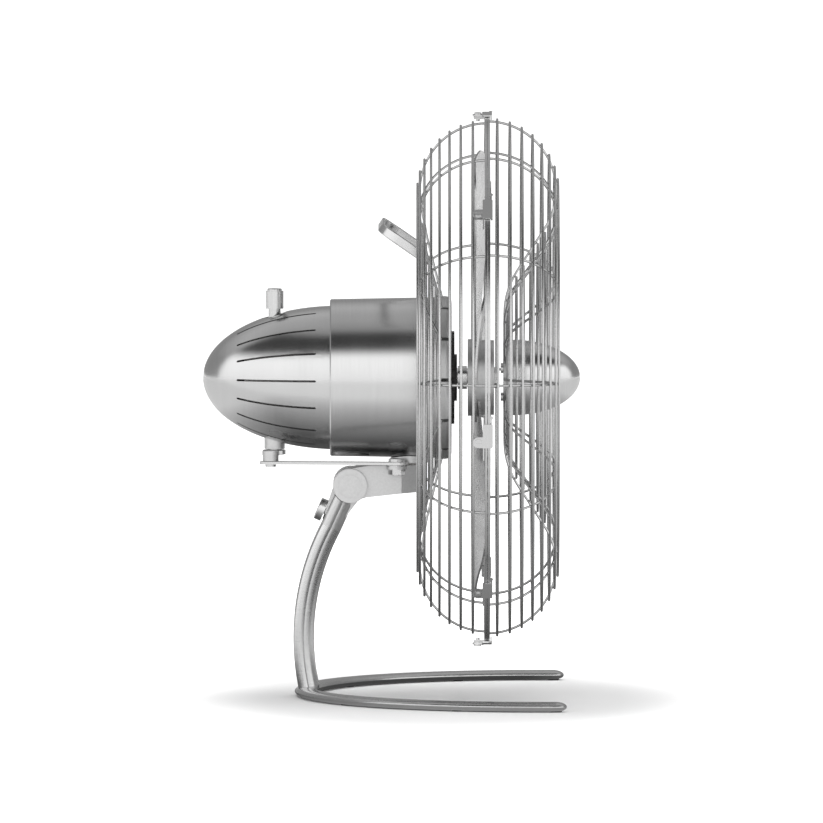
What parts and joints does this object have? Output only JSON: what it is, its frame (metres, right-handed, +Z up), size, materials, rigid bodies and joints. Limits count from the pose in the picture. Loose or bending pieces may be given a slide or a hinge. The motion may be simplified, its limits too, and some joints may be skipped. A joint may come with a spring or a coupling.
{
  "type": "desk fan",
  "caption": "Tilting, oscillating desk fan with a wire cage, an egg-shaped metal motor housing, a curved neck and an open U-shaped base.",
  "frame": {"origin": "on the floor under the middle of the fan's box", "axes": "+X the way the air blows, +Z up, +Y to the fan's left"},
  "size_m": [0.2358, 0.3335, 0.3665],
  "materials": {
    "brushed_steel": "satin brushed",
    "bright_wire": "satin drawn wire",
    "cast_metal": "satin cast",
    "dark_nut": "satin black",
    "bright_screw": "polished",
    "rubber": "matt",
    "nylon": "matt",
    "lamination": "stacked sheet",
    "copper": "varnished winding",
    "switch_plastic": "matt"
  },
  "bodies": {
    "stand": {"base_bar": "brushed_steel", "foot_pads": "rubber", "neck_screws": "bright_screw", "neck_tube": "brushed_steel", "neck_head": "cast_metal", "pivot_pin": "bright_screw", "pivot_caps": "cast_metal", "pivot_washers": "nylon", "speed_switch": "switch_plastic"},
    "arm": {"tilt_arm": "cast_metal", "oscillation_post": "bright_screw", "post_circlip": "bright_screw", "thrust_washer": "nylon", "link_bolt": "bright_screw", "link_nut": "bright_screw", "link_washer": "bright_screw"},
    "head": {"rear_shell": "brushed_steel", "motor_drum": "brushed_steel", "front_cover": "cast_metal", "stator_core": "lamination", "stator_windings": "copper", "motor_bolts": "bright_screw", "end_bell": "cast_metal", "bearings": "bright_screw", "run_capacitor": "switch_plastic", "gearbox_case": "cast_metal", "gearbox_lid": "cast_metal", "wheel_pin": "bright_screw", "pivot_saddle": "cast_metal", "saddle_screws": "bright_screw", "carry_handle": "brushed_steel", "front_grille_ribs": "bright_wire", "front_grille_rings": "bright_wire", "rear_grille_ribs": "bright_wire", "rear_grille_rings": "bright_wire", "front_rim_ring": "bright_wire", "rear_rim_ring": "bright_wire", "rim_clips": "brushed_steel", "clip_screws": "bright_screw", "grille_plate": "brushed_steel", "grille_nut": "dark_nut", "nose_cap": "brushed_steel", "nose_plate": "cast_metal", "nose_screws": "bright_screw"},
    "rotor": {"rotor_shaft": "bright_screw", "rotor_core": "lamination", "worm": "bright_screw", "shaft_collar": "bright_screw", "blade_hub": "cast_metal", "blades": "brushed_steel", "hub_nut": "bright_screw"},
    "worm_wheel": {"worm_wheel": "nylon"},
    "oscillation_knob": {"oscillation_knob": "brushed_steel"},
    "crank": {"crank_shaft": "bright_screw", "crank_disc": "cast_metal", "crank_pin": "cast_metal"},
    "link": {"link_bar": "brushed_steel", "link_rivet": "bright_screw", "link_bush": "nylon"},
    "speed_knob": {"speed_knob": "brushed_steel"}
  },
  "joints": [
    {"name": "tilt", "type": "hinge", "parent": "stand", "child": "arm", "pos_m": [-0.026, 0, 0.1325], "axis": [0, 1, 0], "range_deg": [-20, 20]},
    {"name": "oscillation", "type": "hinge", "parent": "arm", "child": "head", "pos_m": [0.012, 0, 0.15], "axis": [0, 0, 1], "range_deg": [-30, 30]},
    {"name": "fan_spin", "type": "hinge", "parent": "head", "child": "rotor", "pos_m": [0.055, 0, 0.1994], "axis": [1, 0, 0], "continuous": true},
    {"name": "worm_wheel_spin", "type": "hinge", "parent": "head", "child": "worm_wheel", "pos_m": [-0.056, -0.0106, 0.1994], "axis": [0, 0, 1], "continuous": true},
    {"name": "oscillation_switch", "type": "slide", "parent": "head", "child": "oscillation_knob", "axis": [0, 0, 1], "range_m": [-0.004, 0]},
    {"name": "crank_turn", "type": "hinge", "parent": "head", "child": "crank", "pos_m": [-0.0733, 0, 0.152], "axis": [0, 0, 1], "range_deg": [-50, 50]},
    {"name": "link_swing", "type": "hinge", "parent": "arm", "child": "link", "pos_m": [0.003, -0.0195, 0.1468], "axis": [0, 0, 1], "range_deg": [-33, 33]},
    {"name": "speed_turn", "type": "hinge", "parent": "stand", "child": "speed_knob", "pos_m": [-0.0464, 0, 0.1179], "axis": [-0.9135, 0, 0.4067], "range_deg": [0, 120]}
  ],
  "couplings": [
    {"joint": "crank_turn", "follows": "oscillation", "ratio": -1.65},
    {"joint": "link_swing", "follows": "oscillation", "ratio": 1.06},
    {"joint": "worm_wheel_spin", "follows": "fan_spin", "ratio": -0.05}
  ]
}
